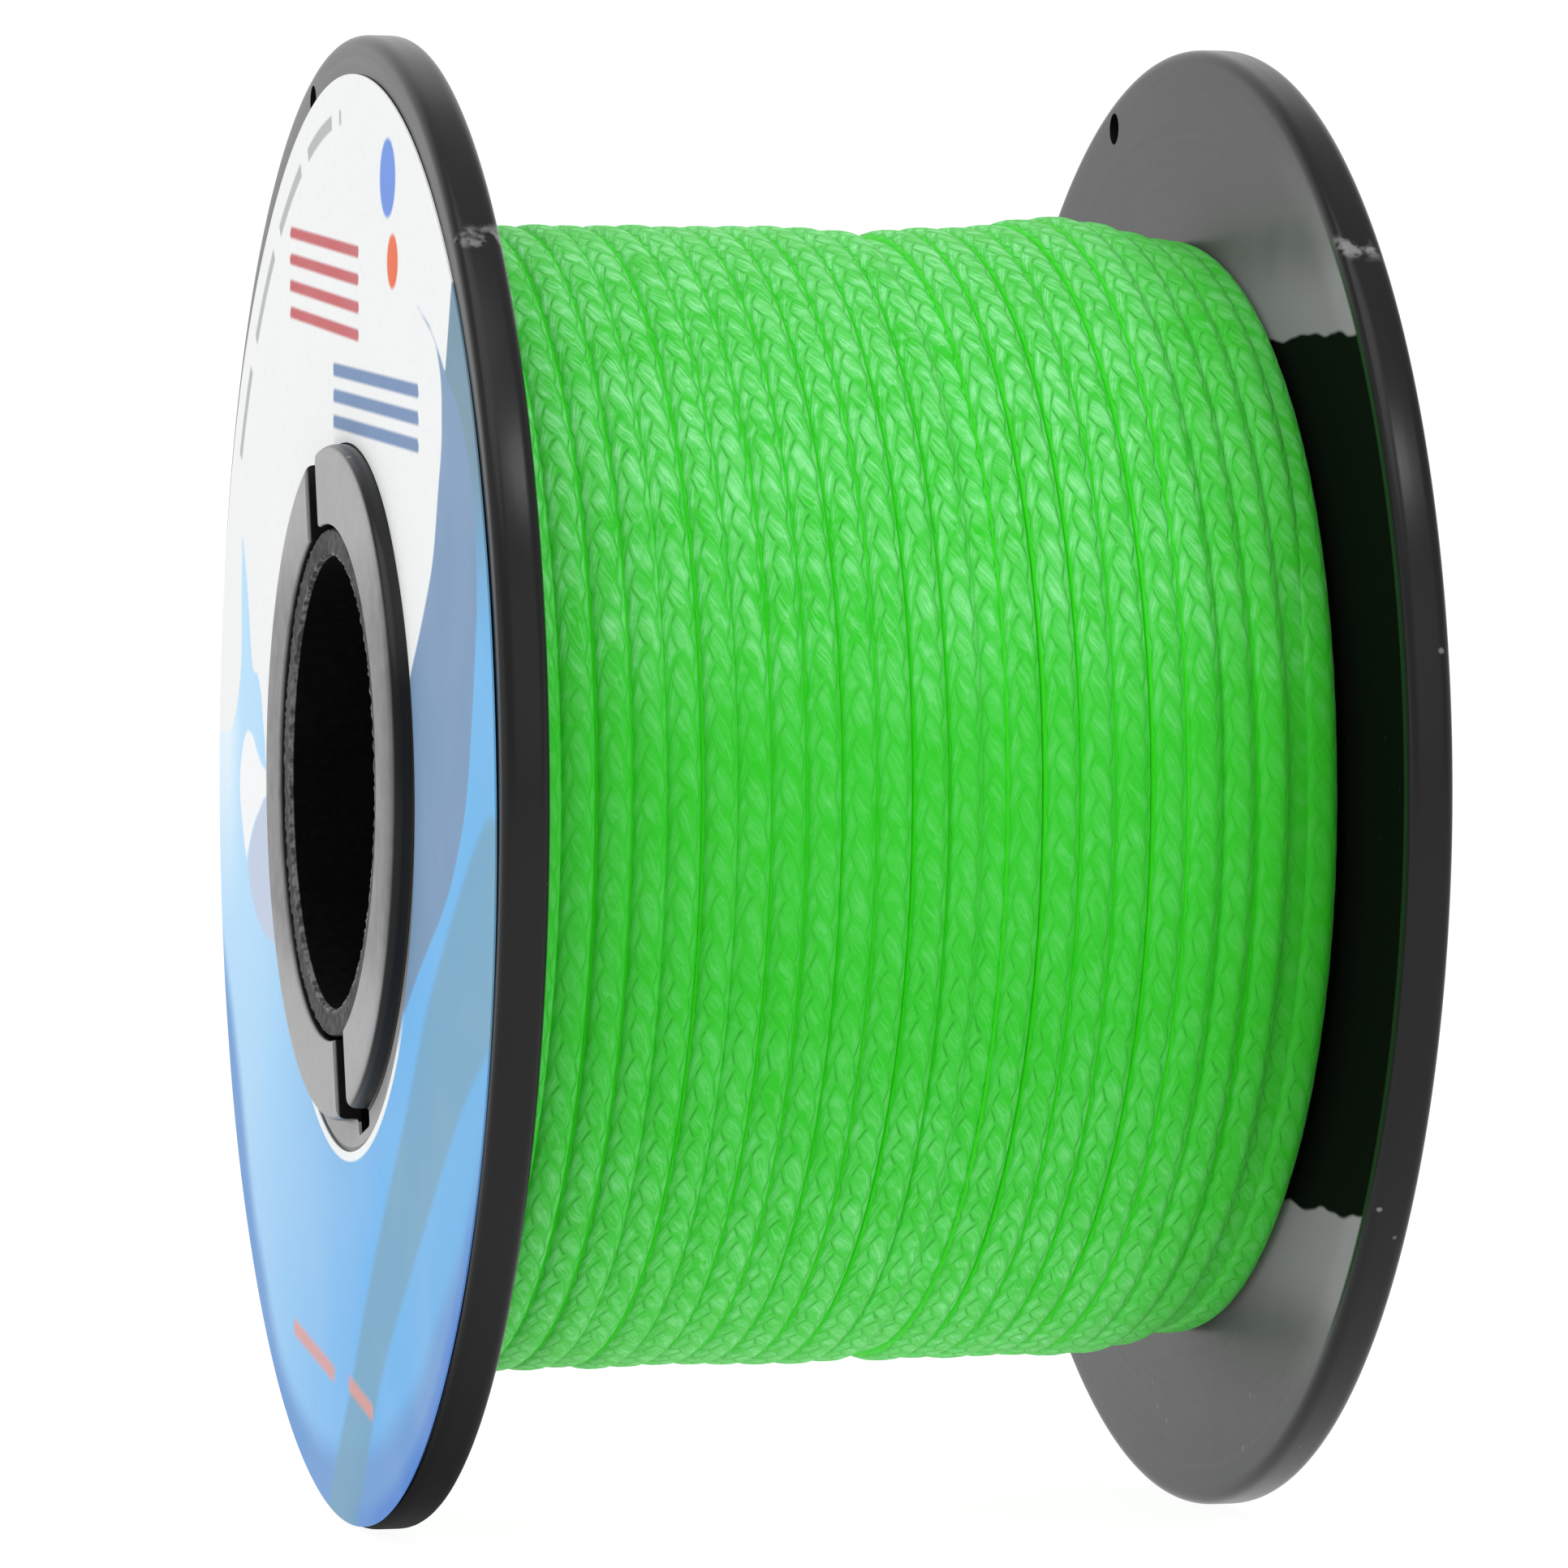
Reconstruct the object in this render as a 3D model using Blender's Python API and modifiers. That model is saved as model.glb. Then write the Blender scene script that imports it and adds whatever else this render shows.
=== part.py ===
"""Fishing line spool: two moulded flanges on a hollow drum and a cut core tube, wound with braided line.

Metres, +Z up. The spool's axis lies along X with its middle at the origin, and the labelled end faces -X.
"""

from math import cos, pi, radians, sin

import bmesh
import bpy
from mathutils import Matrix, Vector

MM = 0.001

# Driving dimensions
FLANGE_RADIUS = 50.0 * MM
FLANGE_THICKNESS = 3.1 * MM
FLANGE_EDGE_ROUND = 0.9 * MM
INNER_WIDTH = 55.0 * MM
HUB_RING_RADIUS = 22.7 * MM
HUB_RING_PROUD = 1.5 * MM
COLLAR_RADIUS = 21.2 * MM
COLLAR_BORE_RADIUS = 19.4 * MM
COLLAR_LENGTH = 6.0 * MM
TUBE_RADIUS = 17.05 * MM
TUBE_BORE_RADIUS = 15.2 * MM
TUBE_RECESS = 0.4 * MM
DRUM_RADIUS = 23.5 * MM
DRUM_WALL = 2.0 * MM
LINE_DIAMETER = 2.29 * MM
LINE_TURNS = 24
WINDING_RADIUS = 39.0 * MM
WINDING_EDGE_DROP = 1.0 * MM
LABEL_RADIUS = 48.4 * MM
LABEL_HOLE_RADIUS = 24.1 * MM
LABEL_DROP = 1.2 * MM
LABEL_THICKNESS = 0.2 * MM
SLOT_WIDTH = 3.8 * MM
SLOT_REACH = 23.8 * MM
SLOT_DEPTH = 3.9 * MM
LINE_HOLE_RADIUS = 1.1 * MM
LINE_HOLE_FROM_AXIS = 47.9 * MM
FRONT_FLANGE_TURN = radians(14.4)
REAR_FLANGE_TURN = radians(18.0)
TAPE_LENGTH_ANGLE = radians(70.0)
TAPE_WIDTH = 19.0 * MM
TAPE_THICKNESS = 0.3 * MM
TAPE_INSET = 3.0 * MM

# Clearances between pieces that touch
GAP = 0.3 * MM
LABEL_GAP = 0.1 * MM

FINE_STEPS = 72
COARSE_STEPS = 48

INNER_FACE = INNER_WIDTH / 2
OUTER_FACE = INNER_FACE + FLANGE_THICKNESS
HUB_FACE = OUTER_FACE + HUB_RING_PROUD
FLANGE_BORE_RADIUS = TUBE_RADIUS + GAP
TAPE_INNER_RADIUS = DRUM_RADIUS + 0.2 * MM
WINDING_BORE_RADIUS = TAPE_INNER_RADIUS + TAPE_THICKNESS + GAP


def clear_scene():
    for obj in list(bpy.data.objects):
        bpy.data.objects.remove(obj)


def new_collection(name):
    collection = bpy.data.collections.new(name)
    bpy.context.scene.collection.children.link(collection)
    return collection


def material(name, colour, roughness, metallic=0.0):
    mat = bpy.data.materials.new(name)
    mat.use_nodes = True
    shader = mat.node_tree.nodes["Principled BSDF"]
    shader.inputs["Base Color"].default_value = (*colour, 1.0)
    shader.inputs["Roughness"].default_value = roughness
    shader.inputs["Metallic"].default_value = metallic
    return mat


def corner_arc(x, r, radius, start, end, points=4):
    """Points of a rounded profile corner about the centre (x, r), as (along the axis, from the axis)."""
    turns = (start + (end - start) * i / (points - 1) for i in range(points))
    return [(x + radius * cos(radians(a)), r + radius * sin(radians(a))) for a in turns]


def turned(name, profile, steps, mat, collection):
    """A piece turned about the X axis from a closed profile of (along the axis, from the axis) points.

    The profile runs down the outer side from +X to -X and back along the inner side. It starts half a
    step round, so that a facet and not an edge lies at the bottom.
    """
    half_step = pi / steps
    mesh = bpy.data.meshes.new(name)
    verts = [(r * cos(half_step), r * sin(half_step), x) for x, r in profile]
    edges = [(i, (i + 1) % len(verts)) for i in range(len(verts))]
    mesh.from_pydata(verts, edges, [])
    obj = bpy.data.objects.new(name, mesh)
    obj.rotation_euler = (0.0, pi / 2, 0.0)
    obj.data.materials.append(mat)
    collection.objects.link(obj)
    screw = obj.modifiers.new("Turn", "SCREW")
    screw.axis = "Z"
    screw.angle = 2 * pi
    screw.steps = steps
    screw.render_steps = steps
    screw.use_merge_vertices = True
    screw.merge_threshold = 1e-6
    screw.use_smooth_shade = True
    return obj


def cutter(name, mesh_builder, matrix, cutters):
    mesh = bpy.data.meshes.new(name)
    shape = bmesh.new()
    mesh_builder(shape)
    shape.to_mesh(mesh)
    shape.free()
    obj = bpy.data.objects.new(name, mesh)
    obj.matrix_world = matrix
    obj.hide_render = True
    obj.display_type = "WIRE"
    cutters.objects.link(obj)
    return obj


def box_builder(size):
    def build(shape):
        bmesh.ops.create_cube(shape, size=1.0, matrix=Matrix.Diagonal((*size, 1.0)))

    return build


def rod_builder(radius, length):
    def build(shape):
        bmesh.ops.create_cone(
            shape, cap_ends=True, segments=16, radius1=radius, radius2=radius, depth=length
        )

    return build


def cut(obj, tool):
    boolean = obj.modifiers.new(tool.name, "BOOLEAN")
    boolean.operation = "DIFFERENCE"
    boolean.solver = "EXACT"
    boolean.object = tool


def flange_profile(side):
    """The moulding's section: the disc, the hub ring outside it and the collar that plugs into the drum."""
    round_ = FLANGE_EDGE_ROUND
    rim = FLANGE_RADIUS - round_
    ring = 0.4 * MM
    outside = [
        (HUB_FACE, FLANGE_BORE_RADIUS),
        *corner_arc(HUB_FACE - ring, HUB_RING_RADIUS - ring, ring, 0, 90, 3),
        (OUTER_FACE, HUB_RING_RADIUS),
        *corner_arc(OUTER_FACE - round_, rim, round_, 0, 90),
        *corner_arc(INNER_FACE + round_, rim, round_, 90, 180),
        (INNER_FACE, COLLAR_RADIUS),
        (INNER_FACE - COLLAR_LENGTH, COLLAR_RADIUS - 0.2 * MM),
        (INNER_FACE - COLLAR_LENGTH, COLLAR_BORE_RADIUS),
        (INNER_FACE, COLLAR_BORE_RADIUS),
        (INNER_FACE, FLANGE_BORE_RADIUS),
    ]
    if side > 0:
        return outside
    return [(-x, r) for x, r in reversed(outside)]


def flange(name, side, turn, mat, parts, cutters):
    """One flange moulding. Its line hole and its two drive slots lie on one radial line, at turn from +Z."""
    obj = turned(name, flange_profile(side), FINE_STEPS, mat, parts)
    slot_height = 2 * SLOT_DEPTH
    slot_at = Matrix.Rotation(-turn, 4, "X")
    slot_at.translation = Vector((side * HUB_FACE, 0.0, 0.0))
    slots = cutter(
        name + "_drive_slots",
        box_builder((slot_height, SLOT_WIDTH, 2 * SLOT_REACH)),
        slot_at,
        cutters,
    )
    hole_at = Matrix.Rotation(pi / 2, 4, "Y")
    hole_at.translation = Vector(
        (
            side * (INNER_FACE + FLANGE_THICKNESS / 2),
            LINE_HOLE_FROM_AXIS * sin(turn),
            LINE_HOLE_FROM_AXIS * cos(turn),
        )
    )
    hole = cutter(
        name + "_line_hole",
        rod_builder(LINE_HOLE_RADIUS, 3 * FLANGE_THICKNESS),
        hole_at,
        cutters,
    )
    cut(obj, slots)
    cut(obj, hole)
    return obj


def sleeve_profile(half_length, radius, bore_radius):
    return [
        (half_length, radius),
        (-half_length, radius),
        (-half_length, bore_radius),
        (half_length, bore_radius),
    ]


def winding_profile():
    """The outer shape of the wound line: a shallow scallop for each turn, lower at its two ends."""
    half = INNER_FACE - GAP
    pitch = 2 * half / LINE_TURNS
    crest = WINDING_RADIUS
    valley = WINDING_RADIUS - 0.16 * LINE_DIAMETER
    points = [(half, WINDING_BORE_RADIUS), (half, crest - LINE_DIAMETER / 2)]
    for turn in range(LINE_TURNS):
        x = half - (turn + 0.5) * pitch
        end_drop = WINDING_EDGE_DROP if turn in (0, LINE_TURNS - 1) else 0.0
        points.append((x, crest - end_drop))
        if turn < LINE_TURNS - 1:
            points.append((x - pitch / 2, valley - end_drop / 2))
    points.append((-half, crest - LINE_DIAMETER / 2))
    points.append((-half, WINDING_BORE_RADIUS))
    return points


def label(mat, parts):
    """The printed disc stuck on the labelled flange, set a little low round the hub ring."""
    near = -(OUTER_FACE + LABEL_GAP)
    far = near - LABEL_THICKNESS
    profile = [
        (near, LABEL_HOLE_RADIUS),
        (near, LABEL_RADIUS),
        (far, LABEL_RADIUS),
        (far, LABEL_HOLE_RADIUS),
    ]
    obj = turned("front_label", profile, FINE_STEPS, mat, parts)
    obj.location.z = -LABEL_DROP
    return obj


def start_tape(mat, parts):
    """The strip of tape that holds the line's first end down on the drum."""
    columns = 14
    mesh = bpy.data.meshes.new("line_start_tape")
    shape = bmesh.new()
    rows = []
    x_start = -INNER_FACE + TAPE_INSET
    for x in (x_start, x_start + TAPE_WIDTH):
        row = []
        for i in range(columns + 1):
            turn = TAPE_LENGTH_ANGLE * (i / columns - 0.5)
            y = TAPE_INNER_RADIUS * sin(turn)
            z = TAPE_INNER_RADIUS * cos(turn)
            row.append(shape.verts.new((x, y, z)))
        rows.append(row)
    near, far = rows
    for i in range(columns):
        shape.faces.new((near[i], far[i], far[i + 1], near[i + 1]))
    bmesh.ops.recalc_face_normals(shape, faces=shape.faces)
    shape.to_mesh(mesh)
    shape.free()
    obj = bpy.data.objects.new("line_start_tape", mesh)
    obj.data.materials.append(mat)
    parts.objects.link(obj)
    outward = mesh.polygons[columns // 2].normal.z > 0
    wall = obj.modifiers.new("Thickness", "SOLIDIFY")
    wall.thickness = TAPE_THICKNESS
    wall.offset = 1.0 if outward else -1.0
    return obj


def shade(obj):
    obj.data.shade_smooth()
    obj.data.set_sharp_from_angle(angle=radians(30.0))


def main():
    clear_scene()
    parts = new_collection("fishing_line_spool")
    cutters = new_collection("cutters")
    black_plastic = material("black_plastic", (0.035, 0.036, 0.038), 0.28)
    rear_plastic = material("rear_black_plastic", (0.035, 0.036, 0.038), 0.28)
    drum_plastic = material("drum_plastic", (0.05, 0.05, 0.052), 0.45)
    tube_board = material("tube_board", (0.11, 0.11, 0.11), 0.75)
    label_print = material("label_print", (0.36, 0.62, 0.86), 0.3)
    green_braid = material("green_braid", (0.05, 0.62, 0.05), 0.6)
    tape = material("tape", (0.75, 0.68, 0.5), 0.4)

    flange("front_flange", -1, FRONT_FLANGE_TURN, black_plastic, parts, cutters)
    flange("rear_flange", 1, REAR_FLANGE_TURN, rear_plastic, parts, cutters)
    drum = sleeve_profile(INNER_FACE - GAP, DRUM_RADIUS, DRUM_RADIUS - DRUM_WALL)
    turned("drum", drum, FINE_STEPS, drum_plastic, parts)
    tube = sleeve_profile(HUB_FACE - TUBE_RECESS, TUBE_RADIUS, TUBE_BORE_RADIUS)
    turned("core_tube", tube, FINE_STEPS, tube_board, parts)
    label(label_print, parts)
    start_tape(tape, parts)
    turned("wound_line", winding_profile(), COARSE_STEPS, green_braid, parts)
    for obj in parts.objects:
        shade(obj)


main()
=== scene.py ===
import math

import bmesh
import bpy
import numpy as np
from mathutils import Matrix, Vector


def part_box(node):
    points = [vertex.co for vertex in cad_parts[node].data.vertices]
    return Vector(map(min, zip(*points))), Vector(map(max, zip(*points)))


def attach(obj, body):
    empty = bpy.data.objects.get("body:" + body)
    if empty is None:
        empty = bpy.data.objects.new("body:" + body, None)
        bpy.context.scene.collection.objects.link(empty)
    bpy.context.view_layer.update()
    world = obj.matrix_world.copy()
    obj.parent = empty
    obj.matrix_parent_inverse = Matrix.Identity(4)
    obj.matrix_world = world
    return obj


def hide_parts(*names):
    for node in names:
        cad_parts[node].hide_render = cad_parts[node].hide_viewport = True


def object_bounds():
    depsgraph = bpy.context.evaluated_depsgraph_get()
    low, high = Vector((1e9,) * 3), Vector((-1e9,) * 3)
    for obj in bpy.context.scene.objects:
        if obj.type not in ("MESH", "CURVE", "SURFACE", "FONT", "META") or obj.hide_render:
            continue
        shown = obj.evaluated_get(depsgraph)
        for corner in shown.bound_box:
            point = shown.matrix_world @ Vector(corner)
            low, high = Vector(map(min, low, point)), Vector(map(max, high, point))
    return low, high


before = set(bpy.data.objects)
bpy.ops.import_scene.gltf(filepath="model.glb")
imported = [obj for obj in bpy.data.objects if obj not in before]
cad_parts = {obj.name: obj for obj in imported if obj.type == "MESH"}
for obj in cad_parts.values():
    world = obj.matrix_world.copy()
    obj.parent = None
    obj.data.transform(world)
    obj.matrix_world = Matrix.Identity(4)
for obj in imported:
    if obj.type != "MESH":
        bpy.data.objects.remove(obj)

cad_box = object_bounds()

# ---- Camera, floor and light -------------------------------------------------------------
# A plain studio: the spool stands on its rims on a pale floor, with a backdrop and side walls.
# The camera looks at the near side of the line, with the labelled end turned a little to it.
CAMERA_TURN = math.radians(-14.17)
CAMERA_RISE = math.radians(1.4)
CAMERA_DISTANCE = 0.523
CAMERA_TARGET = Vector((-0.00033, 0.0, -0.000285))
CAMERA_LENS = 176.2

away = Vector((
    math.sin(CAMERA_TURN) * math.cos(CAMERA_RISE),
    -math.cos(CAMERA_TURN) * math.cos(CAMERA_RISE),
    math.sin(CAMERA_RISE),
))
camera = bpy.data.objects.new("camera", bpy.data.cameras.new("camera"))
camera.data.lens = CAMERA_LENS
camera.data.sensor_width = 36.0
camera.data.clip_start = 0.01
camera.data.clip_end = 20.0
camera.location = CAMERA_TARGET + away * CAMERA_DISTANCE
camera.rotation_euler = (-away).to_track_quat("-Z", "Y").to_euler()
bpy.context.scene.collection.objects.link(camera)
bpy.context.scene.camera = camera
bpy.context.scene.view_settings.view_transform = "Standard"


class Value:
    """A number, colour or vector inside a material, with ordinary arithmetic."""

    def __init__(self, tree, socket=None):
        self.tree = tree
        self.socket = socket

    def node(self, kind, settings=None, inputs=None, out=0):
        """A new node of that kind, with its settings and what goes into its sockets."""
        made = self.tree.nodes.new(kind)
        for name, value in (settings or {}).items():
            setattr(made, name, value)
        for name, value in (inputs or {}).items():
            if isinstance(value, Value):
                self.tree.links.new(value.socket, made.inputs[name])
            elif isinstance(value, tuple) and len(value) == 3 and made.inputs[name].type == "RGBA":
                made.inputs[name].default_value = (*value, 1.0)
            else:
                made.inputs[name].default_value = value
        return Value(self.tree, made.outputs[out] if made.outputs else None)

    def math(self, operation, *others):
        inputs = dict(enumerate((self, *others)))
        return self.node("ShaderNodeMath", {"operation": operation}, inputs)

    def __add__(self, other):
        return self.math("ADD", other)

    def __sub__(self, other):
        return self.math("SUBTRACT", other)

    def __rsub__(self, other):
        return (self * -1.0).math("ADD", other)

    def __mul__(self, other):
        return self.math("MULTIPLY", other)

    def __truediv__(self, other):
        return self.math("DIVIDE", other)

    def __mod__(self, other):
        return self.math("FLOORED_MODULO", other)

    def __pow__(self, other):
        return self.math("POWER", other)

    def __lt__(self, other):
        return self.math("LESS_THAN", other)

    def __gt__(self, other):
        return self.math("GREATER_THAN", other)

    def __abs__(self):
        return self.math("ABSOLUTE")

    __radd__ = __add__
    __rmul__ = __mul__

    def parts(self):
        """The three numbers of a vector."""
        return [self.node("ShaderNodeSeparateXYZ", None, {0: self}, k) for k in range(3)]

    def step(self, low, high):
        """0 below low, 1 above high and smooth between."""
        settings = {"interpolation_type": "SMOOTHSTEP"}
        inputs = {0: self, 1: low, 2: high}
        return self.node("ShaderNodeMapRange", settings, inputs)

    def between(self, zero, one):
        """A colour that is zero where this is 0 and one where it is 1."""
        settings = {"data_type": "RGBA"}
        return self.node("ShaderNodeMix", settings, {0: self, 6: zero, 7: one}, 2)


def new_material(name):
    material = bpy.data.materials.new(name)
    material.use_nodes = True
    material.node_tree.nodes.clear()
    return material, Value(material.node_tree)


def finish_material(start, surface):
    start.node("ShaderNodeOutputMaterial", None, {0: surface})


def rgb(red, green, blue):
    """A screen colour, 0 to 255, as linear light."""
    parts = (c / 255 for c in (red, green, blue))
    return tuple(p / 12.92 if p <= 0.04045 else ((p + 0.055) / 1.055) ** 2.4 for p in parts)


FLOOR_FRONT = -1.5
FLOOR_SIDE = 2.0
SIDE_WALL_HEIGHT = 0.6
BACKDROP_DISTANCE = 1.2
floor_mesh = bpy.data.meshes.new("floor")
ground = cad_box[0][2]
bend = [(FLOOR_FRONT, 0.0), (BACKDROP_DISTANCE, 0.0)]
for i in range(1, 9):
    angle = math.radians(90 * i / 8)
    bend.append((BACKDROP_DISTANCE + 0.3 * math.sin(angle), 0.3 - 0.3 * math.cos(angle)))
bend.append((BACKDROP_DISTANCE + 0.3, 2.0))
corners = [(x, y, ground + z) for y, z in bend for x in (-FLOOR_SIDE, FLOOR_SIDE)]
strips = [(2 * i, 2 * i + 1, 2 * i + 3, 2 * i + 2) for i in range(len(bend) - 1)]
for x in (-FLOOR_SIDE, FLOOR_SIDE):
    strips.append(tuple(range(len(corners), len(corners) + 4)))
    corners += [
        (x, y, ground + z)
        for y, z in [
            (FLOOR_FRONT, 0.0), (BACKDROP_DISTANCE, 0.0),
            (BACKDROP_DISTANCE, SIDE_WALL_HEIGHT), (FLOOR_FRONT, SIDE_WALL_HEIGHT),
        ]
    ]
floor_mesh.from_pydata(corners, [], strips)
for face in floor_mesh.polygons:
    face.use_smooth = True
floor = bpy.data.objects.new("floor", floor_mesh)
bpy.context.scene.collection.objects.link(floor)
floor_paint, start = new_material("floor_paint")
mottle = start.node("ShaderNodeTexNoise", None, {"Scale": 3.0, "Detail": 3.0})
finish_material(start, start.node("ShaderNodeBsdfPrincipled", None, {
    "Base Color": mottle.between((0.12, 0.12, 0.12), (0.14, 0.14, 0.14)),
    "Roughness": 0.9,
    "Specular IOR Level": 0.1,
    "Emission Color": (1.0, 1.0, 1.0),
    "Emission Strength": 0.95,
}))
floor_mesh.materials.append(floor_paint)

world = bpy.data.worlds.new("studio")
world.use_nodes = True
world.node_tree.nodes["Background"].inputs[0].default_value = (1.0, 1.0, 1.0, 1.0)
world.node_tree.nodes["Background"].inputs[1].default_value = 0.56
bpy.context.scene.world = world

SOFT_LIGHTS = [
    ("top_light", (-0.25, -0.30, 0.75), 0.7, 3.1),
    ("left_light", (-0.9, -0.15, 0.25), 0.7, 0.5),
    ("front_light", (0.3, -1.1, 0.35), 0.6, 0.9),
    ("high_light", (0.22, -0.58, 0.65), 0.16, 1.0),
]
for name, place, width, power in SOFT_LIGHTS:
    light = bpy.data.objects.new(name, bpy.data.lights.new(name, "AREA"))
    light.data.size = width
    light.data.energy = power
    light.location = place
    light.rotation_euler = (-Vector(place)).to_track_quat("-Z", "Y").to_euler()
    bpy.context.scene.collection.objects.link(light)

# ---- The line ----------------------------------------------------------------------------
# One length of thick hollow braid, sixteen soft strands plaited two over and two under,
# wound to and fro in seven layers between the flanges. It lies slack and a little flattened.
LAYERS = 7
TURNS_PER_LAYER = 24
LAST_QUARTER = 0.25
LINE_HALF_WIDTH = 0.00121
LINE_HALF_HEIGHT = 0.00110
LINE_SQUARENESS = 3.1
END_TURN_FROM_MIDDLE = 0.02607
FIRST_LAYER_RADIUS = 0.02495
LAST_LAYER_RADIUS = 0.0375
PICK_LENGTH = 0.0028
STRANDS_EACH_WAY = 8
BRAID_RELIEF = 0.00002

# How far the top layer's surface stands off its even radius, along the spool: places, the
# mean height there, and how much lower its top is than its middle, all in millimetres.
SURFACE_AT = [-27, 0, 2.5, 4.6, 7, 11, 15, 17.5, 19.5, 21, 23, 24.5, 26.5]
SURFACE_HEIGHT = [0.0, 0.0, -0.1, -0.1, -0.1, 0.0, 0.25, 0.4, 0.3, -0.1, -0.4, -0.8, -1.2]
SURFACE_SAG = [1.07, 1.0, 1.05, 1.1, 1.0, 0.9, 0.7, 0.5, 0.55, 0.6, 0.7, 0.7, 0.6]


def drift(t, seed, spacing):
    """Smooth random wandering about 0, within 1, with a bend about every spacing."""
    rng = np.random.default_rng(seed)
    at = np.asarray(t) / spacing
    knots = rng.uniform(-1, 1, int(at.max()) + 3)
    i = at.astype(int)
    f = at - i
    f = f * f * (3 - 2 * f)
    return knots[i] * (1 - f) + knots[i + 1] * f


def ease(x, low, high):
    """0 below low, 1 above high and smooth between."""
    f = np.clip((np.asarray(x) - low) / (high - low), 0, 1)
    return f * f * (3 - 2 * f)


def ring_places():
    """Turns from the first end at which the line has a ring, closer where it shows."""
    places = []
    for layer in range(LAYERS):
        radius = FIRST_LAYER_RADIUS + (LAST_LAYER_RADIUS - FIRST_LAYER_RADIUS) * layer / (LAYERS - 1)
        spacing = 0.00035 if layer == LAYERS - 1 else 0.0012 if layer == LAYERS - 2 else 0.005
        turns = TURNS_PER_LAYER + (LAST_QUARTER if layer == LAYERS - 1 else 0)
        count = int(turns * 2 * math.pi * radius / spacing)
        places.append(layer * TURNS_PER_LAYER + np.arange(count) / count * turns)
    return np.concatenate([*places, [LAYERS * TURNS_PER_LAYER + LAST_QUARTER]])


turn = ring_places()
layer = np.minimum(turn // TURNS_PER_LAYER, LAYERS - 1)
in_layer = turn - layer * TURNS_PER_LAYER
angle = math.pi / 2 + 2 * math.pi * turn
pitch = 2 * END_TURN_FROM_MIDDLE / (TURNS_PER_LAYER - 1)
across = np.clip(in_layer - 0.5, 0, TURNS_PER_LAYER - 1) * pitch - END_TURN_FROM_MIDDLE
across = np.where(layer % 2 == 1, -across, across)

# A turn of the top layer that has sunk between its neighbours, which close over it.
top_layer = layer == LAYERS - 1
share = (layer / (LAYERS - 1)) ** 2
sunk = np.zeros_like(turn)
for middle, start_at, end_at, depth, close in [
    (13.75, -0.45, 0.45, 0.00062, 0.00030),
    (22.75, -0.42, 0.12, 0.00060, 0.00030),
]:
    for step_from in range(-4, 5):
        since = in_layer - middle - step_from
        window = ease(since, start_at, start_at + 0.12) * (1 - ease(since, end_at - 0.12, end_at))
        window = window * top_layer * (np.abs(since) < 0.5)
        if step_from == 0:
            sunk += depth * window
        else:
            across -= np.sign(step_from) * close * 0.62 ** (abs(step_from) - 1) * window

height = np.interp(across * 1000, SURFACE_AT, SURFACE_HEIGHT) / 1000
sag = np.interp(across * 1000, SURFACE_AT, SURFACE_SAG) / 1000
layer_step = (LAST_LAYER_RADIUS - FIRST_LAYER_RADIUS) / (LAYERS - 1)
climb = layer + ease(in_layer, TURNS_PER_LAYER - 0.3, TURNS_PER_LAYER) * (layer < LAYERS - 1)
radius = FIRST_LAYER_RADIUS + layer_step * climb
near = np.maximum(np.cos(angle), 0) ** 2 * ease(across, 0.020, 0.024)
radius += share * (height - sag * np.sin(angle) + 0.0004 * near) - sunk
radius += share * 0.00010 * drift(turn, 5, 0.21) + share * 0.00006 * drift(turn, 6, 0.043)
across += share * 0.00007 * drift(turn, 7, 0.31)
outward = np.stack([np.zeros_like(angle), -np.cos(angle), np.sin(angle)], 1)
centre = outward * radius[:, None]
centre[:, 0] = across
step_length = np.linalg.norm(np.diff(centre, axis=0), axis=1)
along = np.concatenate([[0], np.cumsum(step_length)])

ahead = np.gradient(centre, axis=0)
ahead /= np.linalg.norm(ahead, axis=1)[:, None]
sideways = np.cross(ahead, outward)
sideways /= np.linalg.norm(sideways, axis=1)[:, None]
upright = np.cross(sideways, ahead)

RING_DEGREES = [
    -180, -140, -112, -88, -70, -56, -43, -31, -18, -6, 6, 18, 31, 43, 56, 70, 88, 112, 140,
]
ring = np.radians(np.array(RING_DEGREES, float))
sides = len(ring)
round_trip = (ring + math.pi) / (2 * math.pi)
power = 2 / LINE_SQUARENESS
section_wide = np.sign(np.sin(ring)) * np.abs(np.sin(ring)) ** power * LINE_HALF_WIDTH
section_high = np.sign(np.cos(ring)) * np.abs(np.cos(ring)) ** power * LINE_HALF_HEIGHT


def braid_height(along_picks, round_share):
    """How proud the top strand stands, 0 to 1, at a place on the braid."""
    a = along_picks + STRANDS_EACH_WAY * round_share
    b = along_picks - STRANDS_EACH_WAY * round_share
    turn_of = np.mod(np.floor(a) - np.floor(b), 4)
    one_way = turn_of < 1.5
    fa = a - np.floor(a)
    fb = b - np.floor(b)
    over = np.where(one_way, (1 - turn_of + fb) / 2, (turn_of - 2 + fa) / 2)
    beside = np.where(one_way, fa, fb)
    return (1 - (2 * beside - 1) ** 2) * (1 - (2 * over - 1) ** 4)


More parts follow.
